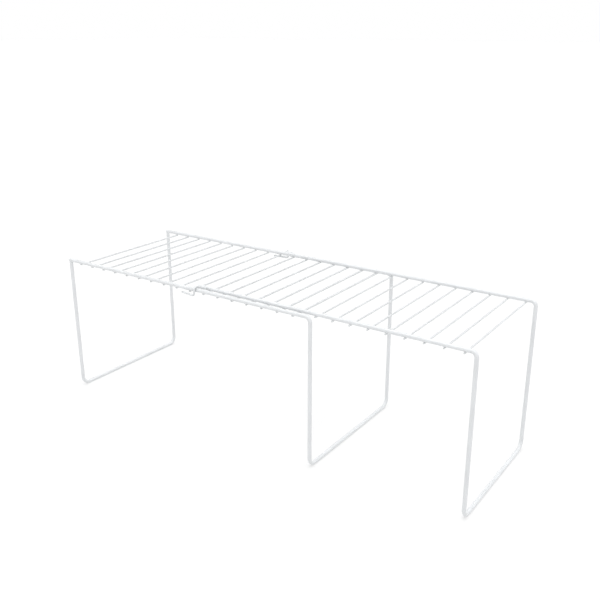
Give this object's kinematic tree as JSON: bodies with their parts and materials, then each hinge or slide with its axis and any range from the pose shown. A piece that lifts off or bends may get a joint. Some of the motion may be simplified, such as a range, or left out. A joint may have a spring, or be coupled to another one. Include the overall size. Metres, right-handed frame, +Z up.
{
  "type": "extending shelf riser",
  "caption": "Coated wire shelf riser: a base on leg loops, and a narrower extension on a leg loop that slides along the base's rails to change the length.",
  "frame": {"origin": "on the floor, in the middle of the riser's overall length, as it stands at rest, and of its width", "axes": "+X along the rails from the base section's end legs towards the extension's legs; +Y from front to back; +Z up"},
  "size_m": [0.6736, 0.2294, 0.2227],
  "materials": {
    "heavy_wire": "smooth white powder coat, semi-gloss, on 5.5 mm steel wire",
    "cross_wire": "smooth white powder coat, semi-gloss, on 2.5 mm steel wire",
    "hook_wire": "smooth white powder coat, semi-gloss, on 3 mm steel wire"
  },
  "bodies": {
    "base": {"base_frame_wire": "heavy_wire", "base_end_leg_wire": "heavy_wire", "base_cross_wire_01": "cross_wire", "base_cross_wire_02": "cross_wire", "base_cross_wire_03": "cross_wire", "base_cross_wire_04": "cross_wire", "base_cross_wire_05": "cross_wire", "base_cross_wire_06": "cross_wire", "base_cross_wire_07": "cross_wire", "base_cross_wire_08": "cross_wire", "base_cross_wire_09": "cross_wire", "base_cross_wire_10": "cross_wire", "base_cross_wire_11": "cross_wire", "base_cross_wire_12": "cross_wire", "base_cross_wire_13": "cross_wire", "base_cross_wire_14": "cross_wire", "base_cross_wire_15": "cross_wire", "base_cross_wire_16": "cross_wire", "base_cross_wire_17": "cross_wire"},
    "extension": {"extension_frame_wire": "heavy_wire", "extension_cross_wire_01": "cross_wire", "extension_cross_wire_02": "cross_wire", "extension_cross_wire_03": "cross_wire", "extension_cross_wire_04": "cross_wire", "extension_cross_wire_05": "cross_wire", "extension_cross_wire_06": "cross_wire", "extension_cross_wire_07": "cross_wire", "extension_cross_wire_08": "cross_wire", "extension_cross_wire_09": "cross_wire", "extension_cross_wire_10": "cross_wire", "extension_cross_wire_11": "cross_wire", "extension_cross_wire_12": "cross_wire", "extension_cross_wire_13": "cross_wire", "extension_cross_wire_14": "cross_wire", "extension_cross_wire_15": "cross_wire", "extension_cross_wire_16": "cross_wire", "extension_hook_front": "hook_wire", "extension_hook_back": "hook_wire"}
  },
  "joints": [
    {"name": "extension_slide", "type": "slide", "parent": "base", "child": "extension", "axis": [1, 0, 0], "range_m": [-0.212, 0.181]}
  ]
}
